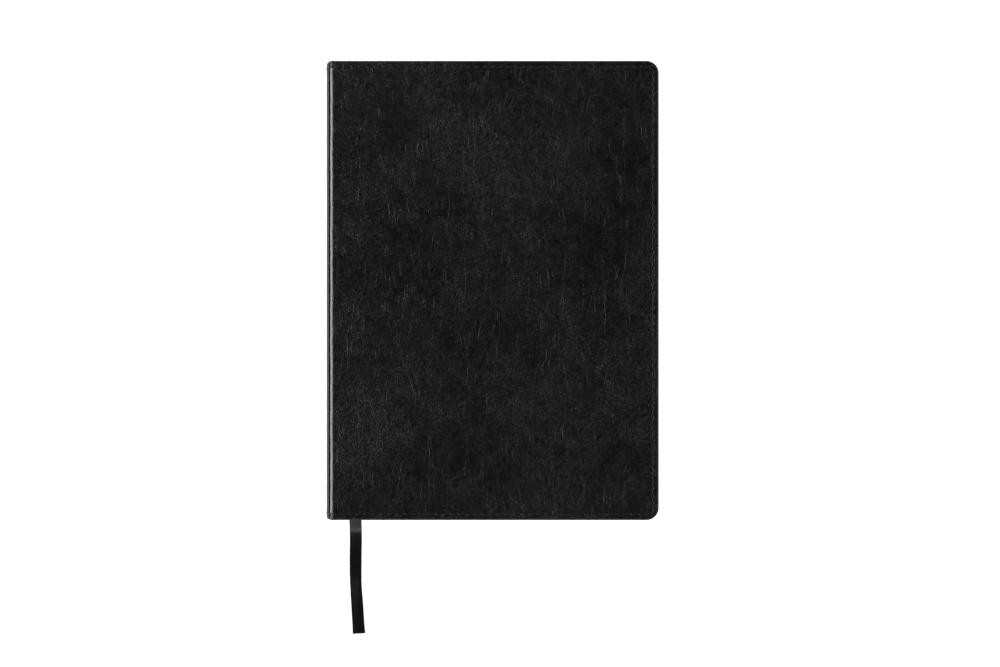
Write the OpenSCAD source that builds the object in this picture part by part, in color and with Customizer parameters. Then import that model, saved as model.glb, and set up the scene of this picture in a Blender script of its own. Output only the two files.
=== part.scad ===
// A hard-board Bible in a stitched leather-look cover, with a rounded spine and a ribbon marker.
// It lies on its back cover: +X to the fore-edge, +Y to the head, +Z out of the front cover.
// The origin is the middle of the book on the surface that it lies on.

/* [Book] */
// Height of the covers, from head to tail
cover_h = 246; // [200:1:300]
// Width of the closed book, from the spine to the fore-edge
cover_w = 179; // [150:1:200]
// Thickness of the closed book
book_t = 38; // [34:1:46]

/* [Covers] */
// Thickness of the leather-look skin
skin_t = 0.6; // [0.5:0.1:0.8]
// Thickness of the board inside a cover
board_t = 1.2; // [1:0.1:1.6]
// Radius of the two fore-edge corners of a cover
corner_r = 6.5; // [5:0.5:12]
// How far the skin is turned in under the board
turn_in = 15; // [10:1:25]
// How far a cover stands out past the pages
overhang = 4; // [2:0.5:6]

/* [Stitching] */
// Distance from the edge of a cover to its stitching
stitch_inset = 3.2; // [2.6:0.1:3.5]
// Distance from one stitch to the next
stitch_pitch = 4.2; // [3.2:0.1:6]
// Length of one stitch
stitch_l = 3; // [2:0.1:3.1]

/* [Spine] */
// How far the sewn back of the pages bulges out
back_bulge = 2.5; // [2:0.1:3]
// Thickness of the stiffener under the spine's skin
stiffener_t = 0.7; // [0.5:0.1:1]
// Thickness of the paper liner on the back of the pages
liner_t = 0.4; // [0.2:0.1:0.5]
// Thickness of the mull, the open cloth that joins the pages to the covers
mull_t = 0.3; // [0.2:0.1:0.4]
// Thickness of the glue on the sewn back
glue_t = 0.5; // [0.4:0.1:0.7]

/* [Pages] */
// Thickness of the turning part of the pages, under the front cover
turning_t = 8; // [6:0.5:10]
// Radius of the fore-edge corners of the pages
page_corner_r = 5.5; // [3:0.5:9]

/* [Ribbon] */
// Width of the ribbon marker
ribbon_w = 6.3; // [4:0.1:8]
// Thickness of the ribbon marker
ribbon_t = 0.3; // [0.2:0.05:0.3]

/* [Hidden] */
STILL_SECTIONS = 8;
TURNING_SECTIONS = 4;

SMOOTH = 96;
CORNER_SMOOTH = 64;
LONG = 20;              // overlength of cutting solids

// Covers
lining_t = 0.2;
cover_t = 2 * skin_t + board_t;
leather_colour = [0.11, 0.11, 0.115];
thread_colour = [0.06, 0.06, 0.06];

// Stitching
groove_w = 0.9;
groove_depth = 0.3;
thread_w = 0.6;

// Gap between pieces that turn past each other
turning_gap = 0.1;

// The sewn back: an arc in the XZ plane, and every layer of the spine lies on it
mid_z = book_t / 2;
block_low = cover_t + turning_gap;
block_high = book_t - block_low;
block_half = mid_z - block_low;
back_r = (block_half ^ 2 + back_bulge ^ 2) / (2 * back_bulge);
spine_r = back_r + glue_t + mull_t + liner_t + stiffener_t + skin_t;
arc_x = -cover_w / 2 + spine_r;
shoulder_x = arc_x - sqrt(back_r ^ 2 - block_half ^ 2);
spine_low = cover_t + 0.3;      // clear of the cover when it is folded right back

// The axis that a cover turns about, in the middle of its thickness
hinge_x = shoulder_x - 1;
board_x = hinge_x + 4;
lining_x = hinge_x + 2;
lining_inset = 4;

// Pages
leaf_t = 0.3;
page_right = cover_w / 2 - overhang;
page_half_h = cover_h / 2 - overhang;
page_w = page_right - shoulder_x;
leaf_x = shoulder_x + 0.3;
still_low = block_low + leaf_t + turning_gap;
still_high = block_high - turning_t;
section_t = (still_high - still_low) / STILL_SECTIONS;
loose_leaves_t = 2 * (leaf_t + turning_gap);
turning_section_t = (turning_t - loose_leaves_t) / TURNING_SECTIONS - turning_gap;

// Spine layers, from the pages outwards
tape_w = 12;
tape_t = 0.2;
tape_places = [-70, 0, 70];
spine_thread_w = 0.6;
band_tube_r = 1;

// The ribbon lies under the section that this numbers, and comes out of the tail
RIBBON_SECTION = 5;
ribbon_z = still_low + (RIBBON_SECTION - 1) * section_t;
ribbon_head_x = shoulder_x + 6;
ribbon_tail_x = -74.4;
ribbon_slack = 0.1;

// The free end's route, from the pages down to the surface and along it
ribbon_route = [
    [-74.4, -119, ribbon_z + ribbon_t / 2],
    [-74.4, -121.5, ribbon_z - 0.7],
    [-74.5, -126, 10.7],
    [-74.6, -131, 6.6],
    [-74.7, -137, 4.2],
    [-74.9, -143, 2.5],
    [-75, -149, 1.3],
    [-75, -155, 0.6],
    [-74.7, -162, 0.4],
    [-74.3, -170, 0.4],
    [-73.8, -179, 0.4],
    [-73.2, -188.4, 0.4]
];
ROUTE_STEPS = 3;        // rings on each stretch of the route

// ---------- covers ----------

// Outline of a cover with its edges drawn in by inset, square at the spine and round at the fore-edge
module cover_outline(inset, left_x) {
    right_x = cover_w / 2 - inset;
    half_h = cover_h / 2 - inset;
    r = max(corner_r - inset, 0.5);
    translate([left_x, -half_h]) square([right_x - r - left_x, 2 * half_h]);
    translate([left_x, r - half_h]) square([right_x - left_x, 2 * (half_h - r)]);
    for (side = [-1, 1])
        translate([right_x - r, side * (half_h - r)]) circle(r, $fn = CORNER_SMOOTH);
}

// Puts a cover piece, drawn with its outer face down at z = 0, on the front or the back
module on_cover(front) {
    if (front) translate([0, 0, book_t]) mirror([0, 0, 1]) children();
    else children();
}

module cover_plate(inset, left_x, low, high) {
    translate([0, 0, low]) linear_extrude(high - low) cover_outline(inset, left_x);
}

// The channel that the thread lies in, along the head, the fore-edge and the tail
module stitch_channel(low, high) {
    translate([0, 0, low]) linear_extrude(high - low) stitch_path(groove_w);
}

// A path of a given width along the line of stitches
module stitch_path(width) {
    difference() {
        cover_outline(stitch_inset - width / 2, hinge_x - LONG / 2);
        cover_outline(stitch_inset + width / 2, hinge_x - LONG);
    }
}

// The skin wraps the board: outer face, rim, and a turn-in with the lining let into it
module cover_skin() {
    difference() {
        union() {
            cover_plate(0, hinge_x, 0, cover_t);
            translate([hinge_x, 0, cover_t / 2]) rotate([90, 0, 0])
                cylinder(r = cover_t / 2, h = cover_h, center = true, $fn = SMOOTH);
        }
        cover_plate(skin_t, board_x, skin_t, skin_t + board_t);
        cover_plate(turn_in, board_x + turn_in, skin_t + board_t, cover_t + 1);
        cover_plate(lining_inset, lining_x, cover_t - lining_t, cover_t + 1);
        stitch_channel(-1, groove_depth);
        stitch_channel(cover_t - groove_depth, cover_t + 1);
    }
}

// The board fills the skin, and its middle fills the window that the turn-in leaves
module cover_board() {
    cover_plate(skin_t, board_x, skin_t, skin_t + board_t);
    cover_plate(turn_in, board_x + turn_in, skin_t + board_t, cover_t - lining_t);
}

module cover_lining() {
    cover_plate(lining_inset, lining_x, cover_t - lining_t, cover_t);
}

// The stitching line, measured from the spine end of the head
line_r = corner_r - stitch_inset;
line_x = cover_w / 2 - stitch_inset - line_r;
line_y = cover_h / 2 - stitch_inset;
line_start = hinge_x + 1;
head_run = line_x - line_start;
corner_run = line_r * PI / 2;
fore_run = 2 * (line_y - line_r);
line_length = 2 * (head_run + corner_run) + fore_run;

// Place and direction on the stitching line: [x, y, angle]
function on_corner(turn, side) = [
    line_x + line_r * sin(turn),
    side * (line_y - line_r + line_r * cos(turn)),
    -side * turn
];
function on_line(s) =
    s < head_run ? [line_start + s, line_y, 0] :
    s < head_run + corner_run ? on_corner((s - head_run) / line_r * 180 / PI, 1) :
    s < head_run + corner_run + fore_run ?
        [line_x + line_r, line_y - line_r - (s - head_run - corner_run), 90] :
    s < line_length - head_run ?
        on_corner((line_length - head_run - s) / line_r * 180 / PI, -1) :
    [line_start + line_length - s, -line_y, 0];

module stitches(low) {
    count = floor(line_length / stitch_pitch);
    translate([0, 0, low]) linear_extrude(groove_depth) intersection() {
        stitch_path(thread_w);
        for (i = [0 : count - 1]) {
            at = on_line((i + 0.5) * line_length / count);
            translate([at[0], at[1]]) rotate(at[2])
                square([stitch_l, 2 * stitch_l / 3], center = true);
        }
    }
}

// The thread shows on both faces of a cover
module cover_stitches() {
    stitches(0);
    stitches(cover_t - groove_depth);
}

module front_cover_skin() { color(leather_colour) on_cover(true) cover_skin(); }
module back_cover_skin() { color(leather_colour) on_cover(false) cover_skin(); }
module front_board() { color("peru") on_cover(true) cover_board(); }
module back_board() { color("peru") on_cover(false) cover_board(); }
module front_lining() { color("dimgray") on_cover(true) cover_lining(); }
module back_lining() { color("dimgray") on_cover(false) cover_lining(); }
module front_cover_stitching() { color(thread_colour) on_cover(true) cover_stitches(); }
module back_cover_stitching() { color(thread_colour) on_cover(false) cover_stitches(); }

// ---------- spine ----------

// A layer that lies on the round back, from radius r_in to r_out, length long about y_mid
module back_layer(r_in, r_out, y_mid, length, low) {
    intersection() {
        translate([arc_x, y_mid, mid_z]) rotate([90, 0, 0]) difference() {
            cylinder(r = r_out, h = length, center = true, $fn = 2 * SMOOTH);
            cylinder(r = r_in, h = length + LONG, center = true, $fn = 2 * SMOOTH);
        }
        translate([-cover_w / 2 - 1, -cover_h, low])
            cube([LONG / 2, 2 * cover_h, book_t - 2 * low]);
    }
}

glue_r = back_r + glue_t;
mull_r = glue_r + mull_t;
liner_r = mull_r + liner_t;
stiffener_r = liner_r + stiffener_t;
back_length = 2 * page_half_h - 6;
stiffener_length = cover_h - 6;

// The skin covers the spine and turns over the ends of the stiffener
module spine_skin() {
    cap = (cover_h - stiffener_length) / 2;
    color(leather_colour) difference() {
        union() {
            back_layer(stiffener_r, spine_r, 0, cover_h, spine_low);
            for (side = [-1, 1])
                back_layer(liner_r, spine_r, side * (cover_h - cap) / 2, cap, spine_low);
        }
        for (side = [-1, 1])
            back_layer(spine_r - groove_depth, spine_r + 1, side * line_y, groove_w, 0);
    }
}

module spine_stiffener() {
    color("peru") back_layer(liner_r, stiffener_r, 0, stiffener_length, spine_low);
}

// The stitching of the two covers goes on across the spine, at head and tail
module spine_stitching() {
    half_turn = asin((mid_z - spine_low) / spine_r);
    count = floor(2 * half_turn * PI / 180 * spine_r / stitch_pitch);
    color(thread_colour) for (side = [-1, 1], i = [0 : count - 1])
        translate([arc_x, side * line_y, mid_z])
            rotate([0, (i + 0.5) / count * 2 * half_turn - half_turn, 0])
                translate([groove_depth / 5 - spine_r, -thread_w / 2, -stitch_l / 2])
                    cube([groove_depth * 0.7, thread_w, stitch_l]);
}

module spine_liner() {
    color("tan") back_layer(mull_r, liner_r, 0, back_length, spine_low);
}

module mull() {
    color("wheat") back_layer(glue_r, mull_r, 0, back_length, spine_low);
}

// Threads run up the back beside each tape, and once more near the head and the tail
thread_places = concat(
    [for (y = tape_places, side = [-1, 1]) y + side * (tape_w / 2 + 1)],
    [for (side = [-1, 1]) side * (page_half_h - 12)]
);

module sewing_tapes() {
    color("linen") for (y = tape_places)
        back_layer(back_r, back_r + tape_t, y, tape_w, spine_low);
}

module sewing_thread() {
    color("white") for (y = thread_places)
        back_layer(back_r, back_r + tape_t, y, spine_thread_w, spine_low);
}

// The glue covers the back, the tapes and the threads
module spine_glue() {
    color("ivory") difference() {
        back_layer(back_r, glue_r, 0, back_length, spine_low);
        for (y = tape_places)
            back_layer(back_r - 1, back_r + tape_t, y, tape_w, 0);
        for (y = thread_places)
            back_layer(back_r - 1, back_r + tape_t, y, spine_thread_w, 0);
    }
}

// A rolled band that covers the ends of the sewn folds
module end_band(side) {
    reach_angle = asin((mid_z - spine_low - band_tube_r) / back_r);
    translate([arc_x, side * (page_half_h + band_tube_r), mid_z]) rotate([90, 0, 0])
        rotate(180 - reach_angle) rotate_extrude(angle = 2 * reach_angle, $fn = 2 * SMOOTH)
            translate([back_r - band_tube_r, 0]) circle(band_tube_r, $fn = 32);
}

module head_band() { color("goldenrod") end_band(1); }
module tail_band() { color("goldenrod") end_band(-1); }

// ---------- pages ----------

module page_outline(left_x) {
    r = page_corner_r;
    translate([left_x, -page_half_h]) square([page_right - r - left_x, 2 * page_half_h]);
    translate([left_x, r - page_half_h]) square([page_right - left_x, 2 * (page_half_h - r)]);
    for (side = [-1, 1])
        translate([page_right - r, side * (page_half_h - r)]) circle(r, $fn = CORNER_SMOOTH);
}

// A round bar along Y with the curve of the sewn back
module back_bar(x) {
    translate([x, 0, mid_z]) rotate([90, 0, 0])
        cylinder(r = back_r, h = 2 * cover_h, center = true, $fn = 2 * SMOOTH);
}

// Pages between two heights, hollow at the fore-edge by as much as the back is round
module pages(left_x, low, high) {
    difference() {
        translate([0, 0, low]) linear_extrude(high - low) page_outline(left_x);
        back_bar(arc_x + page_w);
    }
}

// A sewn section that stays on the back cover's side; its fold follows the round back
module page_section(i) {
    low = still_low + (i - 1) * section_t;
    color(i % 2 == 0 ? "ivory" : "cornsilk") difference() {
        intersection() {
            pages(arc_x - back_r, low, low + section_t);
            union() {
                back_bar(arc_x);
                translate([arc_x, -cover_h, 0]) cube([cover_w, 2 * cover_h, book_t]);
            }
        }
        if (i == RIBBON_SECTION) ribbon_strip(ribbon_w + 2 * ribbon_slack, -1);
    }
}

module front_flyleaf() {
    color("gray") pages(leaf_x, block_high - leaf_t, block_high);
}

module title_leaf() {
    high = block_high - leaf_t - turning_gap;
    color("cornsilk") pages(leaf_x, high - leaf_t, high);
}

// Sections that turn with the front cover, numbered from the top
module leaf_section(i) {
    step = turning_section_t + turning_gap;
    high = block_high - loose_leaves_t - (i - 1) * step;
    color(i % 2 == 0 ? "ivory" : "cornsilk") pages(leaf_x, high - turning_section_t, high);
}

module back_flyleaf() {
    color("gray") pages(leaf_x, block_low, block_low + leaf_t);
}

// ---------- ribbon ----------

// The flat strip between the pages, from the head of the spine to the tail
module ribbon_strip(width, extra_low) {
    translate([0, 0, ribbon_z + extra_low]) linear_extrude(ribbon_t - extra_low) polygon([
        [ribbon_head_x - width / 2, page_half_h],
        [ribbon_head_x + width / 2, page_half_h],
        [ribbon_tail_x + width / 2, -page_half_h],
        [ribbon_tail_x - width / 2, -page_half_h]
    ]);
}

module ribbon_inside() {
    color("black") ribbon_strip(ribbon_w, 0);
}

// A smooth curve through the route's points
function route_at(i) = ribbon_route[max(0, min(len(ribbon_route) - 1, i))];
function blend_points(a, b, c, d, t) =
    (2 * b + (c - a) * t + (2 * a - 5 * b + 4 * c - d) * t ^ 2 + (3 * b - a - 3 * c + d) * t ^ 3) / 2;
route_stretches = len(ribbon_route) - 1;
smooth_route = [for (k = [0 : route_stretches * ROUTE_STEPS])
    let (i = min(floor(k / ROUTE_STEPS), route_stretches - 1), t = k / ROUTE_STEPS - i)
        blend_points(route_at(i - 1), route_at(i), route_at(i + 1), route_at(i + 2), t)];

// Four corners of the ribbon across its route, with the flat side square to the way it runs
function ribbon_ring(k) =
    let (
        last = len(smooth_route) - 1,
        way = smooth_route[min(k + 1, last)] - smooth_route[max(k - 1, 0)],
        up = [0, -way[2], way[1]] / norm([way[1], way[2]]) * -ribbon_t / 2,
        across = [way[1], -way[0], 0] / norm([way[0], way[1]]) * ribbon_w / 2,
        at = smooth_route[k]
    )
    [at + across + up, at - across + up, at - across - up, at + across - up];

module ribbon_tail() {
    rings = len(smooth_route);
    points = [for (k = [0 : rings - 1]) each ribbon_ring(k)];
    sides = [for (k = [0 : rings - 2], c = [0 : 3])
        [4 * k + c, 4 * k + (c + 1) % 4, 4 * k + 4 + (c + 1) % 4, 4 * k + 4 + c]];
    ends = [[3, 2, 1, 0], [for (c = [0 : 3]) 4 * (rings - 1) + c]];
    color("black") polyhedron(points, concat(sides, ends));
}

front_cover_skin();
front_board();
front_lining();
front_cover_stitching();
back_cover_skin();
back_board();
back_lining();
back_cover_stitching();
spine_skin();
spine_stiffener();
spine_liner();
spine_stitching();
mull();
spine_glue();
sewing_tapes();
sewing_thread();
head_band();
tail_band();
for (i = [1 : STILL_SECTIONS])
    page_section(i);
front_flyleaf();
title_leaf();
for (i = [1 : TURNING_SECTIONS])
    leaf_section(i);
back_flyleaf();
ribbon_inside();
ribbon_tail();
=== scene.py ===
"""A stitched Bible, dressed for rendering on the frame that its CAD model gives."""

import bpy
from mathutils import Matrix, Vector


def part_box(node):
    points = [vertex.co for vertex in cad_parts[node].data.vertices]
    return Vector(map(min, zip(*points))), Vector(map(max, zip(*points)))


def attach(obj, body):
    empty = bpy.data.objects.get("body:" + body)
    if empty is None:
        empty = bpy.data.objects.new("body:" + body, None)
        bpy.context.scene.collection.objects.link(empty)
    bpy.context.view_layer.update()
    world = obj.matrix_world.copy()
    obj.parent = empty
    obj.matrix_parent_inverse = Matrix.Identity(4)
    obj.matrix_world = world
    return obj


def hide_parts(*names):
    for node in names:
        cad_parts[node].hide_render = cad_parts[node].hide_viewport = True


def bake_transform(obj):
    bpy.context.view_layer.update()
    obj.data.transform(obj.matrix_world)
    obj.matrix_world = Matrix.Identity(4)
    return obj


bl_info = {
    "name": "Stitched Bible",
    "version": (1, 0, 0),
    "blender": (4, 5, 0),
    "location": "3D View > Sidebar > Bible",
    "description": "Leather, stitching, pages, bands and ribbon of a closed Bible",
    "category": "Object",
}

import math

import bmesh
import bpy
import numpy as np
from bpy.props import FloatProperty, FloatVectorProperty, PointerProperty
from mathutils import Vector

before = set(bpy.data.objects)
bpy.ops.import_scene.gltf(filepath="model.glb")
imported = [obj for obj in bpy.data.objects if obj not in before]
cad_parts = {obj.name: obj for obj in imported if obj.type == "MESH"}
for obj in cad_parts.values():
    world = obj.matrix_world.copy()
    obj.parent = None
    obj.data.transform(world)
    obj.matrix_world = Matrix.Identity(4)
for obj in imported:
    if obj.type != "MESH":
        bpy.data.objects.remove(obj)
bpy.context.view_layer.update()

MM = 0.001
SEED = 7

# ---------- places that the frame gives ----------


def span(*nodes):
    """Lowest and highest corner of several CAD nodes together."""
    boxes = [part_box(n) for n in nodes]
    low = Vector([min(b[0][k] for b in boxes) for k in range(3)])
    high = Vector([max(b[1][k] for b in boxes) for k in range(3)])
    return low, high


def numbered(start):
    """The CAD nodes whose names begin with start, in order."""
    names = [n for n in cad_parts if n.startswith(start)]
    return sorted(names, key=lambda n: int(n.rsplit("_", 1)[1]))


STILL = numbered("page_section_")
TURNING = numbered("leaf_section_")
COVER_LOW, COVER_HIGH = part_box("front_cover_skin")
COVER_T = COVER_HIGH.z - COVER_LOW.z
TOP = COVER_HIGH.z
MID = TOP / 2
RIGHT = COVER_HIGH.x
HALF_H = COVER_HIGH.y
SPINE_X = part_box("spine_skin")[0].x
PAGES_LOW, PAGES_HIGH = span(*STILL, *TURNING, "front_flyleaf", "back_flyleaf")


# ---------- what a user would change ----------


def length(name, text, value_mm, low_mm=0.0, high_mm=50.0):
    """A length property, given in millimetres and kept in metres."""
    return FloatProperty(
        name=name,
        description=text,
        default=value_mm * MM,
        min=low_mm * MM,
        max=high_mm * MM,
        subtype="DISTANCE",
        unit="LENGTH",
        precision=5,
    )


def colour(name, text, red, green, blue):
    """A colour property."""
    return FloatVectorProperty(
        name=name,
        description=text,
        default=(red, green, blue),
        size=3,
        min=0.0,
        max=1.0,
        subtype="COLOR",
    )


class BibleSizes(bpy.types.PropertyGroup):
    """Sizes of the pieces that the frame doesn't hold."""

    leather_t: length("Leather", "Thickness of the leather", 0.35, 0.2, 1)
    back_bulge: length("Back bulge", "How far the sewn back is rounded", 2.5, 2, 3)
    shoulder_r: length("Shoulder", "Radius of the leather at the joints", 2.5, 2, 3)
    corner_r: length("Cover corner", "Radius of the cover's corners", 6.5, 5, 12)
    spine_edge_t: length("Spine edge", "Thickness of the spine's ends", 1.3, 1, 2)
    turn_in: length("Turn-in", "Leather turned in under a cover", 15, 8, 25)
    stitch_inset: length("Stitch inset", "From a cover's edge to the thread", 3.2, 2, 4)
    stitch_pitch: length("Stitch pitch", "From one stitch to the next", 4.2, 3, 6)
    stitch_l: length("Stitch length", "Thread that shows in one stitch", 3.3, 2, 5)
    thread_d: length("Thread", "Diameter of the cover's thread", 0.62, 0.3, 1)
    page_corner_r: length("Page corner", "Radius of the pages' corners", 5.5, 3, 9)
    ribbon_w: length("Ribbon width", "Width of the ribbon marker", 6.7, 4, 8)
    ribbon_t: length("Ribbon thickness", "Thickness of the ribbon", 0.28, 0.2, 0.3)
    band_r: length("Band", "Radius of the head and tail bands", 1.0, 0.5, 1.5)
    band_thread: length("Band thread", "Width of one turn of band thread", 0.46, 0.3, 1)
    camera_height: length("Camera height", "Above the front cover", 1263.5, 500, 3000)
    camera_x: length("Camera X", "Across from the book's middle", 4.5, -100, 100)
    camera_y: length("Camera Y", "Up from the book's middle", -23.05, -100, 100)


class BibleColours(bpy.types.PropertyGroup):
    """Colours of the materials."""

    leather: colour("Leather", "Cover", 0.003, 0.003, 0.0035)
    # Tops of the grain, lighter partly from rubbing and partly as a painted highlight
    grain_rubbed_and_lit: colour("Leather, rubbed", "Tops of the grain", 0.024, 0.024, 0.026)
    crease: colour("Creases", "Thin rubbed lines", 0.05, 0.05, 0.053)
    # Brown painted on the rolled edge: a painted warm sheen there
    rim: colour("Rim", "Rolled edge of the covers", 0.042, 0.02, 0.01)
    thread: colour("Thread", "Stitching of the covers", 0.008, 0.008, 0.0085)
    thread_light: colour("Thread, lit", "Fibres of the stitching", 0.025, 0.025, 0.026)
    endpaper: colour("Endpaper", "Lining and flyleaves", 0.014, 0.014, 0.016)
    endpaper_light: colour("Endpaper, lit", "Its lighter fibres", 0.035, 0.035, 0.038)
    paper: colour("Paper", "Pages", 0.82, 0.77, 0.66)
    paper_shade: colour("Paper, shade", "Darker clouds in the pages", 0.7, 0.62, 0.48)
    ink: colour("Ink", "Lines of print", 0.09, 0.08, 0.075)
    gilt: colour("Gilt", "Edges of the pages", 0.86, 0.6, 0.24)
    gilt_gap: colour("Gilt, gaps", "Between the leaves", 0.5, 0.33, 0.13)
    gilt_dull: colour("Gilt, dull", "Duller patches", 0.66, 0.46, 0.2)
    ribbon: colour("Ribbon", "Satin marker", 0.0025, 0.0025, 0.003)
    ribbon_light: colour("Ribbon, lit", "Its raised threads", 0.011, 0.011, 0.012)
    selvedge: colour("Selvedge", "Woven edges of the ribbon", 0.004, 0.004, 0.004)
    band_dark: colour("Band, dark", "Dark thread of the bands", 0.012, 0.012, 0.013)
    band_gold: colour("Band, gold", "Gold thread of the bands", 0.6, 0.4, 0.1)
    board: colour("Board", "Grey board", 0.28, 0.22, 0.16)
    kraft: colour("Liner", "Kraft paper", 0.42, 0.28, 0.15)
    cloth: colour("Cloth", "Mull, tapes and sewing thread", 0.72, 0.66, 0.53)
    glue: colour("Glue", "Dried glue", 0.74, 0.66, 0.46)
    floor: colour("Floor", "Table that the book lies on", 0.9, 0.9, 0.9)
    glow_seen: colour("Glow, seen", "The table's own light to the camera", 0.97, 0.97, 0.97)
    glow_on_book: colour("Glow", "The table's own light on the book", 0.22, 0.22, 0.22)


def sizes():
    return bpy.context.scene.bible_sizes


def colours():
    return bpy.context.scene.bible_colours


# ---------- meshes ----------


def make_mesh(name, points, faces, materials, values=None, kinds=None, smooth=True):
    """A mesh object; values are numbers kept at each point, kinds is each face's material."""
    mesh = bpy.data.meshes.new(name)
    faces = faces if isinstance(faces, list) else faces.tolist()
    mesh.from_pydata(points.reshape(-1, 3).tolist(), [], faces)
    for label, numbers in (values or {}).items():
        layer = mesh.attributes.new(label, "FLOAT", "POINT")
        layer.data.foreach_set("value", np.asarray(numbers, np.float32).ravel())
    for material in materials:
        mesh.materials.append(material)
    if kinds is not None:
        mesh.polygons.foreach_set("material_index", kinds)
    mesh.polygons.foreach_set("use_smooth", [smooth] * len(mesh.polygons))
    obj = bpy.data.objects.new(name, mesh)
    bpy.context.scene.collection.objects.link(obj)
    return obj


def weld(obj, distance=1e-6):
    """Joins points that lie within the distance of each other, and turns all faces one way."""
    work = bmesh.new()
    work.from_mesh(obj.data)
    if distance:
        bmesh.ops.remove_doubles(work, verts=work.verts, dist=distance)
        bmesh.ops.dissolve_degenerate(work, edges=work.edges, dist=distance)
    bmesh.ops.recalc_face_normals(work, faces=work.faces)
    work.to_mesh(obj.data)
    work.free()


def thicken(obj, thickness):
    """Gives an open sheet its thickness, inwards from its faces."""
    solid = obj.modifiers.new("thickness", "SOLIDIFY")
    solid.thickness = thickness
    solid.offset = -1
    solid.use_even_offset = True
    view = bpy.context.evaluated_depsgraph_get()
    mesh = bpy.data.meshes.new_from_object(obj.evaluated_get(view))
    obj.modifiers.clear()
    obj.data = mesh


def keep_rest(obj):
    """Keeps each point's place at rest, which the materials read, so nothing slides as it bends."""
    places = np.zeros(len(obj.data.vertices) * 3, np.float32)
    obj.data.vertices.foreach_get("co", places)
    layer = obj.data.attributes.new("rest_place", "FLOAT_VECTOR", "POINT")
    layer.data.foreach_set("vector", places)


def close_up(obj, distance=1e-6):
    """The last of a closed piece's making: its points joined, and their places at rest kept."""
    weld(obj, distance)
    keep_rest(obj)


def grid_faces(rows, columns, start=0, closed=False):
    """Quads of a grid of points, row by row; closed joins the last column to the first."""
    i, j = np.meshgrid(
        np.arange(rows - 1), np.arange(columns if closed else columns - 1), indexing="ij"
    )
    i, j = i.ravel(), j.ravel()
    k = (j + 1) % columns
    quads = [i * columns + j, i * columns + k, (i + 1) * columns + k, (i + 1) * columns + j]
    return start + np.stack(quads, axis=1)


def tube_faces(rows, columns, start=0):
    """Faces of a tube of rings: its side, and a cap on each end."""
    last = start + (rows - 1) * columns
    side = grid_faces(rows, columns, start, closed=True).tolist()
    caps = [list(range(start, start + columns)), list(range(last, last + columns))[::-1]]
    return side + caps


def sheet_faces(sheet):
    """Quads between the points of one side of a block."""
    corners = [sheet[:-1, :-1], sheet[1:, :-1], sheet[1:, 1:], sheet[:-1, 1:]]
    return np.stack(corners, axis=-1).reshape(-1, 4)


def corner_reach(u, end, half_height, r):
    """Half the height of a sheet at u across it, where its corners are round."""
    over = np.maximum(u - end + r, 0)
    return half_height - r + np.sqrt(np.maximum(r**2 - over**2, 0))


def smoothstep(x):
    x = np.clip(x, 0, 1)
    return x * x * (3 - 2 * x)


def bell(x, width):
    return np.exp(-((x / width) ** 2))


def smooth_line(points, steps):
    """A smooth curve through points, with steps stretches between each two."""
    p = np.asarray(points, float)
    p = np.concatenate([p[:1], p, p[-1:]])
    a, b, c, d = (p[k : len(p) - 3 + k, None] for k in range(4))
    t = (np.arange(steps) / steps)[:, None]
    curve = 2 * b + (c - a) * t + (2 * a - 5 * b + 4 * c - d) * t**2
    curve = (curve + (3 * b - a - 3 * c + d) * t**3) / 2
    return np.append(curve.reshape(-1, p.shape[1]), p[-1:], axis=0)


# ---------- the leather's wrap ----------


# The joint between spine and cover, from the spine's ridge through the valley to the shoulder:
# across from the shoulder's centre and up from it, in millimetres
JOINT = (
    (-2.86, -0.4), (-2.78, 0.25), (-2.66, 0.5), (-2.52, 0.25), (-2.43, -0.3), (-2.32, -0.5),
    (-2.2, -0.2), (-2.1, 0.45), (-2.0, 1.1), (-1.8, 1.47), (-1.35, 1.85), (-0.9, 2.2), (-0.4, 2.43),
)

JOINT_FADE = 2.5 * MM  # the valley fades out over this length at head and tail
UNDER_FADE = 0.4 * MM  # and over this depth under the leather's face


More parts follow.
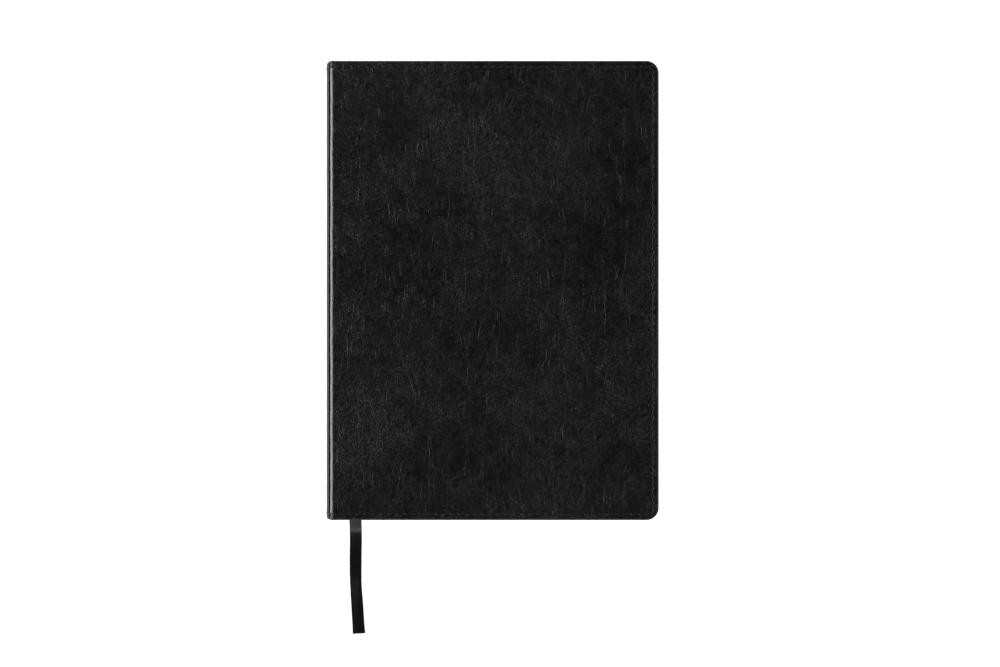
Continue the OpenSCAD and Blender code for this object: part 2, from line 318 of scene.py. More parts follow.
class Wrap:
    """Lays flat leather round the book: s runs from the middle of the spine to the fore-edge,
    y from tail to head, and h stands out of the leather's face."""

    def __init__(self):
        s = sizes()
        half = (PAGES_HIGH.z - PAGES_LOW.z) / 2
        self.back_r = (half**2 + s.back_bulge**2) / (2 * s.back_bulge)
        self.spine_r = self.back_r + PAGES_LOW.x - SPINE_X
        self.arc_x = SPINE_X + self.spine_r
        self.r = s.shoulder_r
        rise = TOP - self.r - MID
        reach = self.spine_r - self.r
        self.turn = math.asin(rise / reach)
        self.centre_x = self.arc_x - math.sqrt(reach**2 - rise**2)
        self.spine_s = self.spine_r * self.turn
        self.flat_s = self.spine_s + self.r * (math.pi / 2 - self.turn)
        self.end_s = self.flat_s + RIGHT - self.centre_x
        self.joint_s = self.spine_s - 2 * MM
        self.set_joint()

    def set_joint(self):
        """Keeps how far the joint's true line lies from the plain one, all along it."""
        low, high = np.stack(self.plain(np.array([self.joint_s, self.flat_s]), 0), axis=-1)
        across, up = np.array(JOINT).T * MM
        x = np.concatenate([[low[0]], self.centre_x + across, [high[0]]])
        z = np.concatenate([[low[1]], TOP - self.r + up, [high[1]]])
        line = smooth_line(np.stack([x, z, 0 * x], axis=1), 8)
        run = np.append(0, np.cumsum(np.linalg.norm(np.diff(line, axis=0), axis=1)))
        self.joint_at = self.joint_s + run / run[-1] * (self.flat_s - self.joint_s)
        self.joint_by = line[:, :2] - np.stack(self.plain(self.joint_at, 0), axis=-1)

    def plain(self, s, h):
        """Across and up of the leather's line without the joint's valley."""
        on_spine = s <= self.spine_s
        angle = np.where(
            on_spine,
            s / self.spine_r,
            np.minimum(self.turn + (s - self.spine_s) / self.r, math.pi / 2),
        )
        radius = np.where(on_spine, self.spine_r, self.r)
        x = np.where(on_spine, self.arc_x, self.centre_x) - (radius + h) * np.cos(angle)
        z = np.where(on_spine, MID, TOP - self.r) + (radius + h) * np.sin(angle)
        return x + np.maximum(s - self.flat_s, 0), z

    def place(self, s, y, h, front=True, valley=1.0):
        s, y, h = (np.asarray(a, float) for a in np.broadcast_arrays(s, y, h))
        x, z = self.plain(s, h)
        valley = valley * smoothstep((HALF_H - np.abs(y)) / JOINT_FADE)
        valley = valley * smoothstep(1 + (h + UNDER_FADE) / UNDER_FADE)
        x = x + valley * np.interp(s, self.joint_at, self.joint_by[:, 0], 0, 0)
        z = z + valley * np.interp(s, self.joint_at, self.joint_by[:, 1], 0, 0)
        return np.stack([x, y, z if front else 2 * MID - z], axis=-1)


def soft_waves(s, y, seed):
    """Low swells of the leather over its board."""
    r = np.random.default_rng(seed)
    total = np.zeros(np.shape(s))
    for wave in (0.061, 0.043, 0.031, 0.019):
        for _ in range(3):
            a, phase = r.uniform(0, math.tau, 2)
            total += wave * np.sin((s * math.cos(a) + y * math.sin(a)) / wave * 6 + phase)
    return total / 0.46


SEAM_S = 13 * MM  # the front leather goes round the spine to here; the back leather begins here
CORNER_STEPS = 9


def stretches(stops, steps):
    """A line of samples through the stops, each stretch with its own step."""
    parts = [
        np.linspace(a, b, max(2, round((b - a) / step) + 1))[:-1]
        for a, b, step in zip(stops, stops[1:], steps)
    ]
    return np.append(np.concatenate(parts), stops[-1])


STITCH_STEPS = 5  # samples of the leather along one stitch
JOINT_STEP = 0.13 * MM  # from one sample to the next across the joint
SWELL = 0.15 * MM  # room for the leather's swells inside the outline of the book
WAVES = 0.04 * MM  # height of the soft waves over the boards
CHANNEL_DEPTH = 0.24 * MM  # along the stitches
HOLE_DEPTH = 0.11 * MM  # more at the needle's holes
OUTER_SWELL_AT = 1.9 * MM  # in from the cover's edge
INNER_SWELL_AT = 4.7 * MM


class Rim:
    """The cover's three edges as one line, from the spine along the head, round and back."""

    def __init__(self, wrap, start_s):
        s = sizes()
        self.wrap, self.start, self.r = wrap, start_s, s.corner_r
        self.inset, self.pitch = s.stitch_inset, s.stitch_pitch
        step = self.pitch / STITCH_STEPS
        self.head = wrap.end_s - self.r - start_s
        self.fore = 2 * (HALF_H - self.r)
        self.turn = (self.r - self.inset) * math.pi / 2
        self.long = 2 * (self.head + self.turn) + self.fore
        stops = [start_s, wrap.joint_s, wrap.flat_s + 0.5 * MM, start_s + self.head]
        self.s_line = stretches(stops, [step, JOINT_STEP, step])
        self.y_line = np.linspace(HALF_H - self.r, self.r - HALF_H, round(self.fore / step) + 1)

    def samples(self):
        """Every sample of the line, as its distance from the start."""
        turn = np.linspace(0, self.turn, CORNER_STEPS + 1)[1:]
        head = self.s_line - self.start
        fore = self.head + self.turn + (self.y_line[0] - self.y_line)
        corners = self.head + turn[:-1], fore[-1] + turn[:-1]
        return np.concatenate([head, corners[0], fore, corners[1], self.long - head[::-1]])

    def at(self, along, d):
        """Flat place (s, y) and outward direction at distances along the line, drawn in by d."""
        along, d = np.broadcast_arrays(np.asarray(along, float), np.asarray(d, float))
        corner_d = np.maximum(d, self.r)
        left = np.maximum(self.r - d, 0)
        back = along > self.long / 2
        a = np.where(back, self.long - along, along)
        turned = np.clip((a - self.head) / self.turn, 0, 1) * math.pi / 2
        share = np.clip(a / self.head, 0, 1)
        s = self.start + share * (self.wrap.end_s - corner_d - self.start)
        s = s + left * np.sin(turned)
        past = np.maximum(a - self.head - self.turn, 0) / (self.fore / 2)
        y = (HALF_H - corner_d) * (1 - past) + left * np.cos(turned)
        side = np.where(back, -1.0, 1.0)
        return s, y * side, np.sin(turned), np.cos(turned) * side


# Samples across the face beside a cover's edge, in millimetres in from it: closest at the thread
FACE_SAMPLES = (6.5, 5.6, 4.9, 4.35, 3.95, 3.65, 3.4, 3.2, 3.0, 2.75, 2.45, 2.1, 1.75, 1.4)
ROLL_SAMPLES = 13
UNDER_STOP = 10 * MM  # a sample on the turn-in
LINING_EDGE = 3.7 * MM  # from the cover's edge to its lining
LINING_STEP = 0.2 * MM  # how far the turn-in lies deeper under the lining


def edge_sections(t, turn_in, lining_step):
    """The edge's section from the face, round the roll, to the end of the turn-in: d and h."""
    face = np.array(FACE_SAMPLES) * MM
    roll = np.linspace(0, math.pi, ROLL_SAMPLES)
    under = np.append(face[::-1], [UNDER_STOP, turn_in])
    rows = len(t)
    half = t[:, None] / 2
    step = lining_step[:, None] * smoothstep((under - LINING_EDGE) / (0.4 * MM))
    d = [
        np.broadcast_to(face, (rows, len(face))),
        half * (1 - np.sin(roll)),
        np.broadcast_to(under, (rows, len(under))),
    ]
    h = [np.zeros((rows, len(face))), half * (np.cos(roll) - 1), -2 * half + step]
    rolled = [np.zeros(len(face)), np.sin(roll), np.zeros(len(under))]
    facing = [np.ones(len(face)), np.cos(roll), -np.ones(len(under))]
    d, h = (np.concatenate(parts, axis=1) for parts in (d, h))
    rolled, facing = (np.broadcast_to(np.concatenate(p), d.shape) for p in (rolled, facing))
    return d, h, rolled, facing


def stitch_relief(along, d, pitch, inset, seed):
    """How far the thread pulls the leather in, and the swell that this leaves beside it."""
    r = np.random.default_rng(seed)
    count = int(along.max() / pitch) + 2
    nearest = np.round(along / pitch)
    pull = r.uniform(0.7, 1.3, count)[np.clip(nearest.astype(int), 0, count - 1)]
    to_hole = along / pitch - nearest
    tight = pull * bell(to_hole, 0.2)
    channel = CHANNEL_DEPTH * bell(d - inset, 0.5 * MM)
    hole = HOLE_DEPTH * pull * bell(d - inset, 0.42 * MM) * bell(to_hole, 0.17)
    outer = 0.12 * MM * bell(d - OUTER_SWELL_AT, 0.75 * MM) * (0.75 - 0.5 * tight)
    inner = 0.07 * MM * bell(d - INNER_SWELL_AT, 0.8 * MM) * (1 - tight)
    return outer + inner - channel - hole


def joint_relief(wrap, s, y, seed):
    """The shoulder beside the joint is a little wavy."""
    r = np.random.default_rng(seed + 40)
    sway = 0
    for wave in (0.047, 0.021, 0.0083):
        sway = sway + 0.05 * MM * np.sin(y / wave * math.tau + r.uniform(0, math.tau))
    return sway * bell(s - wrap.flat_s + 1.6 * MM, 1.5 * MM) - settling(wrap, s)


def settling(wrap, s):
    """The leather of a cover lies a little deeper, which leaves room for its swells."""
    return SWELL * smoothstep((s - wrap.spine_s) / (3 * MM))


def joint_polish(wrap, s, y):
    """Where the leather is stretched and rubbed smooth at the joint."""
    inner = smoothstep((HALF_H - np.abs(y) - 1.5 * MM) / (3.5 * MM))
    return bell(s - wrap.flat_s + 1.5 * MM, 1.05 * MM) * inner


def edge_thickness(wrap, s):
    """Thickness of the rolled edge: thin at the spine, and as thick as the board on the cover."""
    thin = sizes().spine_edge_t
    share = smoothstep((s - wrap.spine_s + 1 * MM) / (wrap.flat_s - wrap.spine_s + 4 * MM))
    return thin + (COVER_T - thin) * share


def leather_sheet(name, wrap, start_s, front, material):
    """One side of the cover: a face over the board, and the edge rolled and turned in."""
    s = sizes()
    seed = SEED if front else SEED + 1
    rim = Rim(wrap, start_s)
    along = rim.samples()
    flat_s = rim.at(along, 0.0)[0]
    lining_step = LINING_STEP * smoothstep((flat_s - wrap.flat_s) / (3 * MM))
    t = edge_thickness(wrap, flat_s)
    d, h, rolled, facing = edge_sections(t, s.turn_in, lining_step)
    ring_s, ring_y, _, _ = rim.at(along[:, None], d)
    relief = stitch_relief(along[:, None], d, s.stitch_pitch, s.stitch_inset, seed)
    relief = relief * facing * np.where(facing < 0, 0.6, 1) * (1 - rolled)
    outside = np.clip(facing, 0, 1)
    waves = WAVES * soft_waves(ring_s, ring_y, seed + 20)
    waves = waves * outside * np.clip(d / s.corner_r, 0.2, 1)
    ring_h = h + relief + waves + joint_relief(wrap, ring_s, ring_y, seed) * outside
    grid_s, grid_y = np.meshgrid(rim.s_line, rim.y_line, indexing="ij")
    grid_h = WAVES * soft_waves(grid_s, grid_y, seed + 20)
    grid_h = grid_h + joint_relief(wrap, grid_s, grid_y, seed)

    def joined(ring, grid):
        return np.concatenate([ring.reshape(d.size, -1), grid.reshape(grid_s.size, -1)])

    points = joined(
        wrap.place(ring_s, ring_y, ring_h, front), wrap.place(grid_s, grid_y, grid_h, front)
    )
    faces = np.concatenate([grid_faces(*d.shape), grid_faces(*grid_s.shape, start=d.size)])
    polish = joint_polish(wrap, joined(ring_s, grid_s), joined(ring_y, grid_y))
    # Painted sheen: how much warm brown each point of the rolled edge gets
    rim_sheen = joined(rolled, np.zeros(grid_s.size))
    obj = make_mesh(name, points, faces, [material], {"rim": rim_sheen, "polish": polish})
    weld(obj, 2e-6)
    turn_outwards(obj, front)
    thicken(obj, s.leather_t)
    keep_rest(obj)
    return obj


def turn_outwards(obj, front):
    """Makes the faces of a cover's sheet look away from the book."""
    top = max(obj.data.polygons, key=lambda p: p.center.z if front else -p.center.z)
    if (top.normal.z > 0) != front:
        obj.data.flip_normals()


def joint_bend(obj, front):
    """Bakes a piece's transform; the two ends of its bend over the joint, from the spine's round to
    just above the cover's face, are worked out but not used.
    """
    start = (SPINE_X + 1.5 * MM, 0, TOP - 4 * MM)
    end = (SPINE_X + 6 * MM, 0, TOP + 0.5 * MM)
    if not front:
        start, end = ((x, y, 2 * MID - z) for x, y, z in (start, end))
    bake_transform(obj)


# ---------- stitches ----------


STITCH_RINGS, STITCH_SIDES = 13, 10
STITCH_BASE = -0.04 * MM  # the thread's middle, from the leather's face


def stitch_mesh(name, wrap, start_s, front, material):
    """The cover's thread, stitch by stitch, on its face and on its inside."""
    s = sizes()
    rim = Rim(wrap, start_s)
    count = int(rim.long / s.stitch_pitch)
    r = np.random.default_rng(SEED + (11 if front else 12))
    t = np.linspace(-1, 1, STITCH_RINGS)[:, None]
    around = np.arange(STITCH_SIDES) * math.tau / STITCH_SIDES
    at = rim.at((np.arange(count) + 0.5) * s.stitch_pitch, s.stitch_inset)
    flat_s, flat_y, out_s, out_y = (a[:, None, None] for a in at)
    twist = 1 + 0.09 * np.cos(2 * (around + 5.5 * t))
    radius = s.thread_d / 2 * (1 - 0.25 * np.abs(t) ** 4) * twist
    side, lift = radius * np.sin(around), radius * np.cos(around) * 0.85
    sink = 0.55 * MM * np.abs(t) ** 5
    points = []
    for on_face in (True, False):
        skew = r.normal(0, 0.05, count)[:, None, None]
        half = s.stitch_l / 2 * r.uniform(0.93, 1.07, count)[:, None, None]
        uneven = r.normal(0, 0.02 * MM, (count, 1))[:, :, None]
        along_s = out_y * np.cos(skew) + out_s * np.sin(skew)
        along_y = out_y * np.sin(skew) - out_s * np.cos(skew)
        ps = flat_s + half * t * along_s - side * along_y
        py = flat_y + half * t * along_y + side * along_s
        ph = STITCH_BASE - settling(wrap, flat_s) - sink + uneven + lift
        if not on_face:
            ph = -edge_thickness(wrap, flat_s) - ph
        points.append(wrap.place(ps, py, ph, front, valley=0.35).reshape(-1, 3))
    per = STITCH_RINGS * STITCH_SIDES
    faces = []
    for k in range(2 * count):
        faces += tube_faces(STITCH_RINGS, STITCH_SIDES, k * per)
    obj = make_mesh(name, np.concatenate(points), faces, [material])
    close_up(obj)
    return obj


# ---------- pages ----------


def back_arc(wrap, z):
    """How far the round back stands out at height z, from its highest point inwards."""
    return wrap.back_r - np.sqrt(wrap.back_r**2 - (np.asarray(z) - MID) ** 2)


GUTTER = 16 * MM  # width of the strip of a leaf that bends
GUTTER_SAMPLES = 27
LINING_CORNER = 3 * MM


def page_slab(name, wrap, low, high, layers, materials, rough=0.0):
    """Leaves between two heights: round at the back, hollow at the fore-edge, round corners."""
    r = np.random.default_rng(SEED + int(low / MM * 10))
    corner = sizes().page_corner_r
    back = SPINE_X + wrap.spine_r - wrap.back_r
    width = PAGES_HIGH.x - (back + back_arc(wrap, PAGES_HIGH.z))
    flat = width - corner
    bend = np.linspace(0, GUTTER, GUTTER_SAMPLES)
    body = np.linspace(GUTTER, flat, 24)[1:]
    turn = flat + corner * np.sin(np.linspace(0, math.pi / 2, 9)[1:])
    u = np.concatenate([bend, body, turn])
    v = np.linspace(-1, 1, 41)
    z = np.linspace(low, high, layers + 1)
    reach = corner_reach(u, width, PAGES_HIGH.y, corner)[:, None, None]
    jut = z * 0
    if rough:
        jut = np.repeat(r.normal(0, rough, (len(z) + 1) // 2 + 1), 2)[: len(z)]
    uu, vv, zz = np.meshgrid(u, v, z, indexing="ij")
    x = back + back_arc(wrap, zz) + uu + jut * (uu > width - corner / 2)
    y = vv * (reach + jut)
    grid = np.stack([x, y, zz], axis=-1)
    index = np.arange(x.size).reshape(x.shape)
    top, bottom, inner = index[:, :, -1], index[:, ::-1, 0], index[0][::-1]
    fore, head, tail = index[-1], index[:, -1][::-1], index[:, 0]
    faces = [sheet_faces(sheet) for sheet in (top, bottom, fore, inner, head, tail)]
    trimmed = (0, 0, 1, 0, 1, 1)
    kinds = [np.full(len(f), kind) for f, kind in zip(faces, trimmed)]
    used, faces = np.unique(np.concatenate(faces), return_inverse=True)
    obj = make_mesh(
        name,
        grid.reshape(-1, 3)[used],
        faces.reshape(-1, 4),
        materials,
        kinds=np.concatenate(kinds) * (len(materials) - 1),
        smooth=False,
    )
    close_up(obj, 0)
    return obj


def gutter_bend(obj, wrap):
    """Bakes a leaf's transform; where it would turn, a little out from its inner edge on the sewn
    back, is worked out but not used.
    """
    edge = SPINE_X + wrap.spine_r - wrap.back_r + back_arc(wrap, PAGES_HIGH.z)
    edge + GUTTER * 0.8
    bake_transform(obj)


def endpaper_hinge(name, wrap, front, material):
    """The lining on the inside of a cover: a flat sheet from beside the joint to the fore-edge,
    more closely sampled in a strip at the joint.
    """
    low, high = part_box("front_lining" if front else "back_lining")
    left = wrap.centre_x + 0.2 * MM
    strip = left + 6 * MM
    flat = high.x - LINING_CORNER
    u = np.concatenate(
        [
            np.linspace(left, strip, 13),
            np.linspace(strip, flat, 30)[1:],
            flat + LINING_CORNER * np.sin(np.linspace(0, math.pi / 2, 7)[1:]),
        ]
    )
    uu, vv = np.meshgrid(u, np.linspace(-1, 1, 31), indexing="ij")
    y = vv * corner_reach(u, high.x, high.y, LINING_CORNER)[:, None]
    heights = (low.z, high.z) if front else (high.z, low.z)
    points = np.stack([np.stack([uu, y, np.full(uu.shape, z)], axis=-1) for z in heights])
    index = np.arange(2 * uu.size).reshape(2, *uu.shape)
    sheets = [index[0], index[1], index[:, 0], index[:, -1], index[:, :, 0], index[:, :, -1]]
    faces = np.concatenate([sheet_faces(sheet) for sheet in sheets])
    obj = make_mesh(name, points, faces, [material], smooth=False)
    close_up(obj)
    left + 3.5 * MM
    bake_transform(obj)
    return obj


# ---------- bands and ribbon ----------


BAND_RINGS, BAND_SIDES = 5, 14  # rings in one turn of thread, and points round the band


def end_band(name, wrap, side, materials):
    """A band of thread wound over a cord, bent round the sewn back."""
    s = sizes()
    low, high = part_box("head_band" if side > 0 else "tail_band")
    run = wrap.back_r - s.band_r
    reach = math.asin((high.z - low.z) / 2 / run)
    turns = round(2 * reach * run / s.band_thread)
    k = np.arange(turns * BAND_RINGS + 1)
    angle = np.linspace(-reach, reach, len(k))[:, None]
    radius = s.band_r * (0.86 + 0.13 * np.abs(np.sin(k * math.pi / BAND_RINGS)))[:, None]
    around = np.arange(BAND_SIDES) * math.tau / BAND_SIDES
    out = run + radius * np.cos(around)
    y = side * (PAGES_HIGH.y + s.band_r) + radius * np.sin(around)
    x = wrap.arc_x - out * np.cos(angle)
    z = MID + out * np.sin(angle)
    faces = tube_faces(len(k), BAND_SIDES)
    turn = np.arange(len(faces) - 2) // BAND_SIDES // BAND_RINGS
    stripe = np.append(turn % 4 // 2, [0, 0])
    obj = make_mesh(name, np.stack([x, y, z], axis=-1), faces, materials, kinds=stripe)
    close_up(obj)
    return obj


# The ribbon's free end, from the pages down to the table and along it, in millimetres
RIBBON_ROUTE = (
    (-74.4, -119, 15.35), (-74.4, -121.5, 14.5), (-74.5, -126, 10.7), (-74.6, -131, 6.6),
    (-74.7, -137, 4.2), (-74.9, -143, 2.5), (-75, -149, 1.3), (-75, -155, 0.6),
    (-74.7, -162, 0.4), (-74.3, -170, 0.4), (-73.8, -179, 0.4), (-73.2, -188.4, 0.4),
)


def loop(upper, sign=1):
    """Values along a flat section's upper side, carried on round its lower side."""
    return np.concatenate([upper, sign * upper[..., ::-1][..., 1:-1]], axis=-1)


def ribbon_mesh(material):
    """The marker's free end: a flat satin strip with firm woven edges and a cut end."""
    s = sizes()
    line = smooth_line(RIBBON_ROUTE, 12) * MM
    along = np.append(0, np.cumsum(np.linalg.norm(np.diff(line, axis=0), axis=1)))
    way = np.gradient(line, axis=0)
    way /= np.linalg.norm(way, axis=1)[:, None]
    across = np.stack([way[:, 1], -way[:, 0], np.zeros(len(way))], axis=1)
    across /= -np.linalg.norm(across, axis=1)[:, None]
    up = np.cross(across, way)
    up *= np.sign(up[:, 2])[:, None]
    roll = (math.radians(13) * bell(along - 47 * MM, 10 * MM))[:, None]
    turned = across * np.cos(roll) + up * np.sin(roll)
    normal = up * np.cos(roll) - across * np.sin(roll)
    lift = np.abs(np.sin(roll)) * s.ribbon_w * 0.42
    flare = 1 + 0.05 * smoothstep((along - along[-1] + 5 * MM) / (5 * MM))
    u = np.sin(np.linspace(-math.pi / 2, math.pi / 2, 17))
    rim = np.abs(u)
    selvedge = smoothstep((rim - 0.84) / 0.08) * (1 - smoothstep((rim - 0.97) / 0.03))
    half_t = s.ribbon_t / 2 * (0.8 + 0.45 * selvedge) * np.sqrt(np.maximum(1 - rim**40, 0.05))
    camber = 0.12 * MM * (1 - u**2)
    ripple = 0.05 * MM * np.sin(along / (7.3 * MM) * math.tau)[:, None] * u**2
    ripple = loop(ripple) * smoothstep(along / (20 * MM))[:, None]
    side = loop(u) * (s.ribbon_w / 2 * flare)[:, None]
    height = loop(half_t, -1) + loop(camber) + ripple + lift
    points = line[:, None] + side[..., None] * turned[:, None] + height[..., None] * normal[:, None]
    edge = np.tile(loop(selvedge), len(line))
    faces = tube_faces(*side.shape)
    obj = make_mesh("ribbon_marker", points, faces, [material], {"selvedge": edge})
    close_up(obj, 0)
    return obj, line, along[-1]


# ---------- shader nodes ----------


class Wire:
    """A node's output; +, -, * and / with another one or a number make Math nodes."""

    def __init__(self, nodes, socket):
        self.nodes, self.socket = nodes, socket

    def __add__(self, other):
        return self.nodes.math("ADD", self, other)

    def __sub__(self, other):
        return self.nodes.math("SUBTRACT", self, other)

    def __rsub__(self, other):
        return self.nodes.math("SUBTRACT", other, self)

    def __mul__(self, other):
        return self.nodes.math("MULTIPLY", self, other)

    def __truediv__(self, other):
        return self.nodes.math("DIVIDE", self, other)

    def __rtruediv__(self, other):
        return self.nodes.math("DIVIDE", other, self)


class Nodes:
    """Adds and links nodes of one tree."""

    def __init__(self, tree):
        self.tree = tree

    def add(self, kind, **settings):
        node = self.tree.nodes.new(kind)
        for key, value in settings.items():
            setattr(node, key, value)
        return node

    def put(self, value, socket):
        if isinstance(value, Wire):
            self.tree.links.new(value.socket, socket)
        else:
            socket.default_value = value

    def fill(self, node, *values):
        """Puts values into a node's inputs in order, and gives its first output."""
        for value, socket in zip(values, node.inputs):
            self.put(value, socket)
        return Wire(self, node.outputs[0])

    def name_fill(self, node, out, **values):
        """Puts values into a node's inputs by name, and gives the output of that name."""
        for label, value in values.items():
            self.put(value, node.inputs[label])
        return Wire(self, node.outputs[out])

    def math(self, operation, *values):
        return self.fill(self.add("ShaderNodeMath", operation=operation), *values)

    def vector(self, operation, a, b):
        return self.fill(self.add("ShaderNodeVectorMath", operation=operation), a, b)

    def stretch(self, place, x, y, z):
        return self.vector("MULTIPLY", place, (x, y, z))

    def split(self, place):
        node = self.add("ShaderNodeSeparateXYZ")
        self.put(place, node.inputs[0])
        return [Wire(self, out) for out in node.outputs]

    def fit(self, value, low, high, to_low=0.0, to_high=1.0):
        """A smooth step from to_low to to_high as the value goes from low to high."""
        node = self.add("ShaderNodeMapRange", interpolation_type="SMOOTHSTEP")
        return self.fill(node, value, low, high, to_low, to_high)

    def noise(self, place, scale, detail=2.0, rough=0.5, out="Fac"):
        node = self.add("ShaderNodeTexNoise")
        return self.name_fill(
            node, out, Vector=place, Scale=scale, Detail=detail, Roughness=rough
        )

    def cell_edges(self, place, scale):
        """How far a place is from the edge of its cell."""
        node = self.add("ShaderNodeTexVoronoi", feature="DISTANCE_TO_EDGE")
        return self.name_fill(node, "Distance", Vector=place, Scale=scale)

    def wander(self, place, scale, detail, reach):
        """A place moved about by noise."""
        drift = self.noise(place, scale, detail, out="Color")
        centred = self.vector("SUBTRACT", drift, (0.5, 0.5, 0.5))
        return self.vector("ADD", place, self.vector("MULTIPLY", centred, reach))

    def mix(self, share, a, b):
        """A colour between two, each a wire or three numbers."""
        node = self.add("ShaderNodeMix", data_type="RGBA")
        self.put(share, node.inputs[0])
        for value, socket in ((a, node.inputs[6]), (b, node.inputs[7])):
            self.put(value if isinstance(value, Wire) else (*value, 1), socket)
        return Wire(self, node.outputs[2])


# ---------- shader groups ----------


PRINT_MIDDLE = 1 * MM  # of the two columns, across
PRINT_GAP = 3.2 * MM  # half the gap between them
PRINT_SIDE = 66 * MM
PRINT_TOP = 103 * MM


class Group(Nodes):
    """A node group under way: it reads a place and one number, and puts out values."""

    def __init__(self, name, label, default, *outputs):
        super().__init__(bpy.data.node_groups.new(name, "ShaderNodeTree"))
        new = self.tree.interface.new_socket
        new("Place", in_out="INPUT", socket_type="NodeSocketVector")
        new(label, in_out="INPUT", socket_type="NodeSocketFloat").default_value = default
        for out in outputs:
            new(out, in_out="OUTPUT", socket_type="NodeSocketFloat")
        given = self.add("NodeGroupInput").outputs
        self.place, self.size = Wire(self, given["Place"]), Wire(self, given[label])
        self.results = self.add("NodeGroupOutput").inputs

    def give(self, **values):
        for label, value in values.items():
            self.put(value, self.results[label])
        return self.tree


def pebble_group():
    """Fine leather grain: rounded pebbles of uneven size."""
    g = Group("pebble grain", "Size", 0.8 * MM, "Height")
    scale = 1.0 / g.size
    place = g.wander(g.place, scale * 0.45, 2.0, (0.0011, 0.0011, 0.0011))
    large = g.fit(g.cell_edges(place, scale), 0.0, 0.32)
    small = g.fit(g.cell_edges(place, scale * 2.1), 0.0, 0.3)
    return g.give(Height=large * 0.75 + small * 0.25)


def crease_group():
    """Sparse thin creases that run mostly from head to tail."""
    g = Group("long creases", "Density", 330.0, "Mask")
    bent = g.wander(g.place, 45.0, 3.0, (0.014, 0.01, 0.0))
    lines = 1.0 - g.fit(g.cell_edges(g.stretch(bent, 1.0, 0.14, 1.0), g.size), 0.0, 0.055)
    patches = g.noise(g.stretch(g.place, 1.0, 0.45, 1.0), 190.0)
    return g.give(Mask=lines * g.fit(patches, 0.4, 0.75))


def cloud_group():
    """Broad uneven patches."""
    g = Group("clouds", "Size", 30 * MM, "Value")
    return g.give(Value=g.fit(g.noise(g.place, 1.0 / g.size, 4.0, 0.6), 0.3, 0.7))


def weave_group():
    """Threads that cross over and under each other."""
    g = Group("weave", "Thread", 0.3 * MM, "Height")
    x, y, z = g.split(g.place)
    turns = math.pi / g.size
    over = g.math("SINE", x * turns) * g.math("SINE", (y + z) * turns)
    fuzz = g.noise(g.place, 0.7 / g.size)
    return g.give(Height=over * 0.5 + 0.5 + fuzz * 0.3)


def fibre_group():
    """Paper and board: short fibres and a faint cloudiness."""
    g = Group("fibres", "Size", 0.6 * MM, "Height", "Tone")
    scale = 1.0 / g.size
    fibres = g.noise(g.stretch(g.place, 1.0, 0.3, 1.0), scale, 4.0, 0.65)
    return g.give(Height=fibres, Tone=g.noise(g.place, scale * 0.12, 3.0))


def leaf_line_group():
    """Edges of many thin leaves, one on another."""
    g = Group("leaf edges", "Leaf", 0.16 * MM, "Height", "Gap")
    drift = g.noise(g.stretch(g.place, 1.0, 1.0, 8.0), 60.0)
    z = g.split(g.place)[2] + drift * (0.5 * MM)
    line = g.noise(g.stretch(g.place, 0.02, 0.02, 1.0), 0.6 / g.size, 3.0, 0.7)
    wave = g.math("SINE", z * (math.tau / g.size)) * 0.5 + 0.5
    return g.give(Height=wave * 0.35 + line * 0.65, Gap=g.fit(line, 0.58, 0.72))


def print_group():
    """Two columns of plain dashes that stand for lines of print."""
    g = Group("print lines", "Line", 3.4 * MM, "Ink")
    x, y, _ = g.split(g.place)
    x = x - PRINT_MIDDLE
    side, up = g.math("ABSOLUTE", x), g.math("ABSOLUTE", y)
    soft = 0.2 * MM
    columns = g.fit(side, PRINT_GAP, PRINT_GAP + soft)
    columns = columns * (1.0 - g.fit(side, PRINT_SIDE, PRINT_SIDE + soft))
    columns = columns * (1.0 - g.fit(up, PRINT_TOP, PRINT_TOP + soft))
    row = y / g.size
    from_middle = g.math("ABSOLUTE", g.math("FRACT", row) - 0.5)
    bar = 1.0 - g.fit(from_middle, 0.13, 0.2)
    both = g.fill(g.add("ShaderNodeCombineXYZ"), x * 330.0, g.math("FLOOR", row) * 7.31)
    word = g.fit(g.noise(both, 1.0, 0.0), 0.38, 0.42)
    return g.give(Ink=columns * (bar * word))


GROUPS = {}


def make_groups():
    GROUPS.update(
        pebbles=pebble_group(),
        creases=crease_group(),
        clouds=cloud_group(),
        weave=weave_group(),
        fibres=fibre_group(),
        leaf_edges=leaf_line_group(),
        print_lines=print_group(),
    )


# ---------- materials ----------


class Finish(Nodes):
    """A material under way: its nodes, its Principled shader and the place its detail reads."""

    def __init__(self, name, kept_place=True, **shader):
        self.material = bpy.data.materials.new(name)
        self.material.use_nodes = True
        super().__init__(self.material.node_tree)
        self.shader = next(x for x in self.tree.nodes if x.type == "BSDF_PRINCIPLED").inputs
        for label, value in shader.items():
            self.shader[label.replace("_", " ")].default_value = value
        if kept_place:
            self.place = self.value("rest_place", "Vector")
        else:
            self.place = Wire(self, self.add("ShaderNodeTexCoord").outputs["Object"])

    def value(self, name, socket="Fac"):
        """A number or place that the mesh keeps at each point."""
        return Wire(self, self.add("ShaderNodeAttribute", attribute_name=name).outputs[socket])

    def use(self, key, **values):
        """Places a shared group, and gives its output, or a list if it has several."""
        node = self.add("ShaderNodeGroup", node_tree=GROUPS[key])
        self.name_fill(node, 0, Place=self.place, **values)
        wires = [Wire(self, out) for out in node.outputs]
        return wires if len(wires) > 1 else wires[0]

    def paint(self, base, rough=None, height=None, depth=0.0, strength=1.0):
        self.put(base, self.shader["Base Color"])
        if rough is not None:
            self.put(rough, self.shader["Roughness"])
        if height is not None:
            bump = self.add("ShaderNodeBump")
            bump.inputs["Strength"].default_value = strength
            bump.inputs["Distance"].default_value = depth
            self.put(height, bump.inputs["Height"])
            self.put(Wire(self, bump.outputs[0]), self.shader["Normal"])
        return self.material


